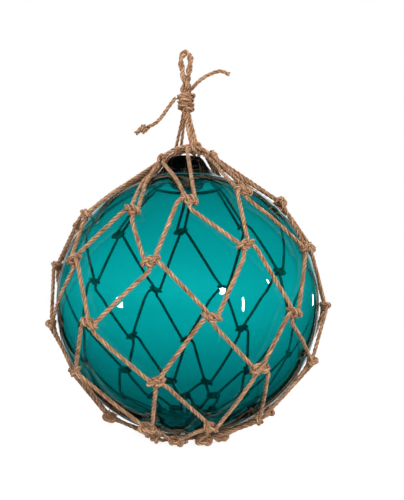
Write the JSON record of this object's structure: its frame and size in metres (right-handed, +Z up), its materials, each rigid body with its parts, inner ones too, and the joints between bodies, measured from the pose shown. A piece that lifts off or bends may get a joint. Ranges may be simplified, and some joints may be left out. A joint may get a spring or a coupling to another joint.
{
  "type": "glass float ball",
  "caption": "Teal hand-blown glass float ball in a knotted jute net, with a whipped hanging loop and two cord tails.",
  "frame": {"origin": "centre of the net's drawn-up bottom button, on the table plane, under the ball's centre", "axes": "+Z up through the seal and the hanging loop; -Y is the front, +X the right seen from the front"},
  "size_m": [0.2622, 0.2609, 0.3759],
  "materials": {
    "glass": "gloss",
    "jute": "matte"
  },
  "bodies": {
    "root": {"glass_float": "glass", "netting": "jute", "hanging_cord": "jute", "whipping": "jute", "tail_knotted": "jute", "stopper_knot": "jute", "tail_cut": "jute"}
  },
  "joints": []
}
